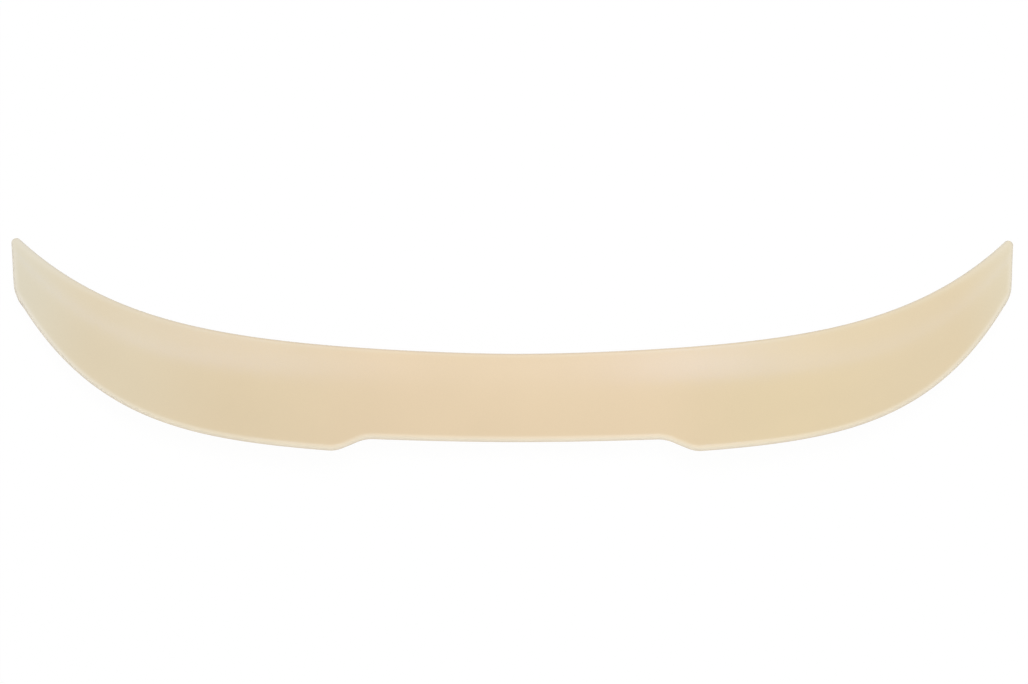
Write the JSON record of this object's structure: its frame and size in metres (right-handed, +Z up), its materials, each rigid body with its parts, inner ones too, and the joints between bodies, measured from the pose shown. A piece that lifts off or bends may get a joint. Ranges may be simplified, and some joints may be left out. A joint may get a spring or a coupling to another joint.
{
  "type": "boot lid spoiler",
  "caption": "Crescent-shaped boot lid lip spoiler in unpainted plastic, with a concave upper face, a raised trailing edge stepped at the centre, swept tips and a flanged, ribbed underside.",
  "frame": {"origin": "centre of the part's outline seen from above, at the level of the foot that sits on the boot lid", "axes": "+X to the right across the car, seen from behind it; +Y forwards, towards the thin leading edge; +Z up. The part is mirror-symmetric about X = 0."},
  "size_m": [1.1946, 0.2794, 0.0491],
  "materials": {
    "shell": "unpainted cream moulding plastic with a satin surface"
  },
  "bodies": {
    "root": {"spoiler": "shell"}
  },
  "joints": []
}
